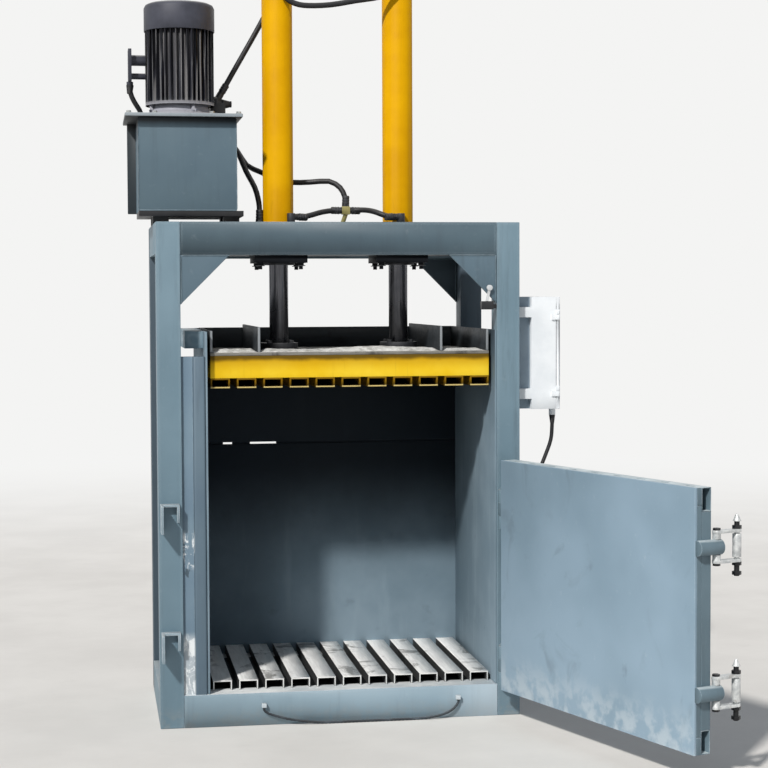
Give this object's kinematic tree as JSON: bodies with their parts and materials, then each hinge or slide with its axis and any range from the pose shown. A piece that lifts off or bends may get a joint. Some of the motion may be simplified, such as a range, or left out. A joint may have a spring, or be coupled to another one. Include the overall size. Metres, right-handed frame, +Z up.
{
  "type": "recycling baler",
  "caption": "Vertical recycling baler: portal frame, baling chamber with side-hung door, twin hydraulic rams on a slotted platen, top-mounted tank and motor.",
  "frame": {"origin": "middle of the frame's footprint, on the floor it stands on", "axes": "+Z up, -Y out of the open front, +X to the right when facing the front"},
  "size_m": [1.9943, 2.0442, 3.048],
  "materials": {
    "blue_grey_paint": "satin",
    "worn_steel": "worn",
    "yellow_paint": "satin",
    "dusty_steel": "matt",
    "zinc_steel": "satin",
    "dark_steel": "satin",
    "rod_steel": "polished",
    "black_paint": "satin",
    "motor_paint": "satin",
    "white_paint": "satin",
    "black_plastic": "matt",
    "green_plastic": "gloss",
    "red_plastic": "gloss",
    "fitting_brass": "satin",
    "black_rubber": "matt",
    "dark_rope": "matt"
  },
  "bodies": {
    "frame": {"front_columns": "blue_grey_paint", "rear_columns": "blue_grey_paint", "crossbeams": "blue_grey_paint", "knee_gussets": "blue_grey_paint", "top_side_rails": "blue_grey_paint", "ram_bridge": "blue_grey_paint", "sills": "blue_grey_paint", "base_rails": "blue_grey_paint", "floor_plate": "blue_grey_paint", "floor_channels": "worn_steel", "side_walls": "blue_grey_paint", "back_wall": "blue_grey_paint", "seam_strip": "blue_grey_paint", "wall_stiffeners": "blue_grey_paint", "front_jamb": "blue_grey_paint", "latch_catches": "blue_grey_paint", "door_hinges": "blue_grey_paint", "rope_lugs": "blue_grey_paint", "ram_barrels": "yellow_paint", "ram_fittings": "dark_steel", "tank_stand": "black_paint", "oil_tank": "blue_grey_paint", "tank_lid": "blue_grey_paint", "gear_pump": "black_paint", "motor_body": "motor_paint", "fan_cowl": "motor_paint", "terminal_box": "motor_paint", "valve_block": "black_paint", "limit_switch": "black_plastic", "control_cabinet": "white_paint", "hose_tee": "fitting_brass", "feed_hose": "black_rubber", "left_hose": "black_rubber", "left_link_hose": "black_rubber", "right_link_hose": "black_rubber", "riser_hose": "black_rubber", "top_link_hose": "black_rubber", "motor_lead": "black_rubber", "cabinet_lead": "black_rubber", "pull_rope": "dark_rope"},
    "platen": {"platen_box": "yellow_paint", "platen_channels": "yellow_paint", "platen_deck": "dusty_steel", "platen_rim": "dusty_steel", "rod_feet": "dark_steel", "rods": "rod_steel"},
    "door": {"door_sheet": "blue_grey_paint", "door_edge_bars": "blue_grey_paint", "door_rails": "blue_grey_paint", "door_stiles": "blue_grey_paint", "door_hinge_leaves": "blue_grey_paint", "door_latch_bosses": "blue_grey_paint"},
    "upper_latch": {"upper_latch": "zinc_steel"},
    "lower_latch": {"lower_latch": "zinc_steel"},
    "motor_rotor": {"motor_rotor": "dark_steel"},
    "cabinet_door": {"cabinet_door": "white_paint"},
    "cabinet_lock": {"cabinet_lock": "black_plastic"},
    "start_button": {"start_button": "green_plastic"},
    "stop_button": {"stop_button": "red_plastic"}
  },
  "joints": [
    {"name": "ram_press", "type": "slide", "parent": "frame", "child": "platen", "axis": [0, 0, 1], "range_m": [-0.83, 0.25]},
    {"name": "door_swing", "type": "hinge", "parent": "frame", "child": "door", "pos_m": [0.63, -0.438, 0.5], "axis": [0, 0, 1], "range_deg": [-110, 50]},
    {"name": "upper_latch_turn", "type": "hinge", "parent": "door", "child": "upper_latch", "pos_m": [1.09271, -1.55724, 0.808], "axis": [0, 0, 1], "range_deg": [-110, 60]},
    {"name": "lower_latch_turn", "type": "hinge", "parent": "door", "child": "lower_latch", "pos_m": [1.09271, -1.55724, 0.32], "axis": [0, 0, 1], "range_deg": [-110, 60]},
    {"name": "motor_spin", "type": "hinge", "parent": "frame", "child": "motor_rotor", "pos_m": [-0.585, 0, 2.6], "axis": [0, 0, 1], "continuous": true},
    {"name": "cabinet_door_swing", "type": "hinge", "parent": "frame", "child": "cabinet_door", "pos_m": [0.866, -0.357, 1.416], "axis": [0, 0, 1], "range_deg": [-110, 0]},
    {"name": "cabinet_lock_turn", "type": "hinge", "parent": "cabinet_door", "child": "cabinet_lock", "pos_m": [0.874, 0, 1.416], "axis": [1, 0, 0], "range_deg": [0, 90]},
    {"name": "start_press", "type": "slide", "parent": "cabinet_door", "child": "start_button", "axis": [-1, 0, 0], "range_m": [0, 0.005], "stiffness_N_per_m": 800, "springref_m": -0.001},
    {"name": "stop_press", "type": "slide", "parent": "cabinet_door", "child": "stop_button", "axis": [-1, 0, 0], "range_m": [0, 0.005], "stiffness_N_per_m": 800, "springref_m": -0.001}
  ]
}
